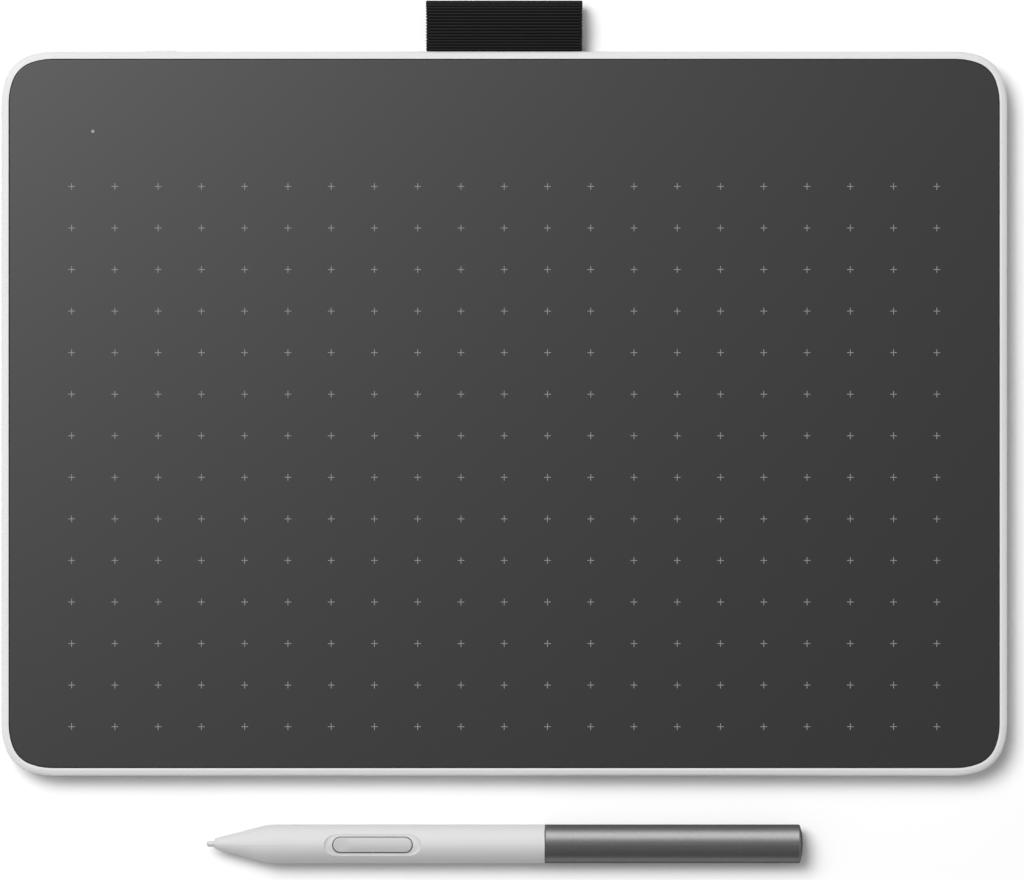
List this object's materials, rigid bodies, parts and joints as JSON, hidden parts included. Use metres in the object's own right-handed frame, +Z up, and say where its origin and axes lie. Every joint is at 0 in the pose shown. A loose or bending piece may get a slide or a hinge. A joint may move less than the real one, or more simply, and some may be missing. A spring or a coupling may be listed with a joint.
{
  "type": "graphics tablet",
  "caption": "Thin graphics tablet with a dark drawing face in a white case, fabric pen loop on its far edge, and a round two-tone pen lying in front of it.",
  "frame": {"origin": "on the desk plane, under the centre of the tablet's outline", "axes": "+X right along the tablet's long side, +Y away from the user towards the pen loop, +Z up"},
  "size_m": [0.2514, 0.216, 0.0097],
  "materials": {
    "white_case": "fine satin moulded",
    "plate_black": "moulded",
    "drawing_face": "fine textured film",
    "board_green": "solder resist",
    "tinned_steel": "tinned sheet",
    "screw_steel": "black passivated",
    "package_black": "moulded epoxy",
    "cable_film": "polyester film",
    "socket_cream": "moulded nylon",
    "inlet_steel": "drawn",
    "inlet_black": "moulded",
    "contact_gold": "gold flash",
    "led_white": "package",
    "diffuser_white": "translucent",
    "battery_foil": "laminated foil",
    "tape_black": "foam tape",
    "wire_red": "extruded",
    "ribbon_black": "ribbed woven ribbon",
    "bar_steel": "ground",
    "foot_rubber": "moulded",
    "barrel_white": "satin moulded",
    "chassis_black": "moulded",
    "ferrite_grey": "sintered",
    "coil_copper": "enamelled copper wire",
    "sensor_white": "moulded",
    "holder_grey": "moulded",
    "nib_white": "moulded",
    "key_white": "satin moulded",
    "dome_steel": "pressed",
    "seal_rubber": "moulded",
    "rear_grey": "satin metallic paint"
  },
  "bodies": {
    "tablet": {"lower_case": "white_case", "top_plate": "plate_black", "overlay_sheet": "drawing_face", "sensor_board": "board_green", "shield_plate": "tinned_steel", "main_board": "board_green", "board_screws": "screw_steel", "case_screws": "screw_steel", "controller_chip": "package_black", "radio_module": "tinned_steel", "board_parts": "package_black", "flat_cable": "cable_film", "flat_cable_socket": "socket_cream", "usb_c_shell": "inlet_steel", "usb_c_tongue": "inlet_black", "usb_c_contacts": "contact_gold", "power_switch": "package_black", "status_led": "led_white", "light_pipe": "diffuser_white", "battery_pack": "battery_foil", "battery_tape": "tape_black", "battery_lead": "wire_red", "battery_socket": "socket_cream", "pen_loop": "ribbon_black", "loop_anchor_bar": "bar_steel", "foot_front_left": "foot_rubber", "foot_front_right": "foot_rubber", "foot_back_left": "foot_rubber", "foot_back_right": "foot_rubber"},
    "power_button": {"power_button": "white_case", "switch_plunger": "inlet_black"},
    "pen": {"front_barrel": "barrel_white", "pen_chassis": "chassis_black", "pen_board": "board_green", "pen_components": "package_black", "ferrite_core": "ferrite_grey", "coil": "coil_copper", "pressure_sensor": "sensor_white", "switch_domes": "dome_steel", "seal_ring": "seal_rubber"},
    "side_switch": {"rocker_switch": "key_white"},
    "nib_holder": {"nib_holder": "holder_grey"},
    "nib": {"nib": "nib_white"},
    "rear_case": {"rear_case": "rear_grey"}
  },
  "joints": [
    {"name": "power_press", "type": "slide", "parent": "tablet", "child": "power_button", "axis": [0, -1, 0], "range_m": [0, 0.00035], "stiffness_N_per_m": 7000},
    {"name": "pen_lift", "type": "slide", "parent": "tablet", "child": "pen", "axis": [0, 0, 1], "range_m": [0, 0.06]},
    {"name": "side_switch_tilt", "type": "hinge", "parent": "pen", "child": "side_switch", "pos_m": [-0.03288, -0.1077, 0.00753], "axis": [0, 1, 0], "range_deg": [-2.5, 2.5], "stiffness_Nm_per_rad": 0.26},
    {"name": "nib_press", "type": "slide", "parent": "pen", "child": "nib_holder", "axis": [1, 0, 0], "range_m": [0, 0.0004], "stiffness_N_per_m": 10000},
    {"name": "nib_pull", "type": "slide", "parent": "nib_holder", "child": "nib", "axis": [-1, 0, 0], "range_m": [0, 0.022]},
    {"name": "rear_case_pull", "type": "slide", "parent": "pen", "child": "rear_case", "axis": [1, 0, 0], "range_m": [0, 0.02]}
  ]
}
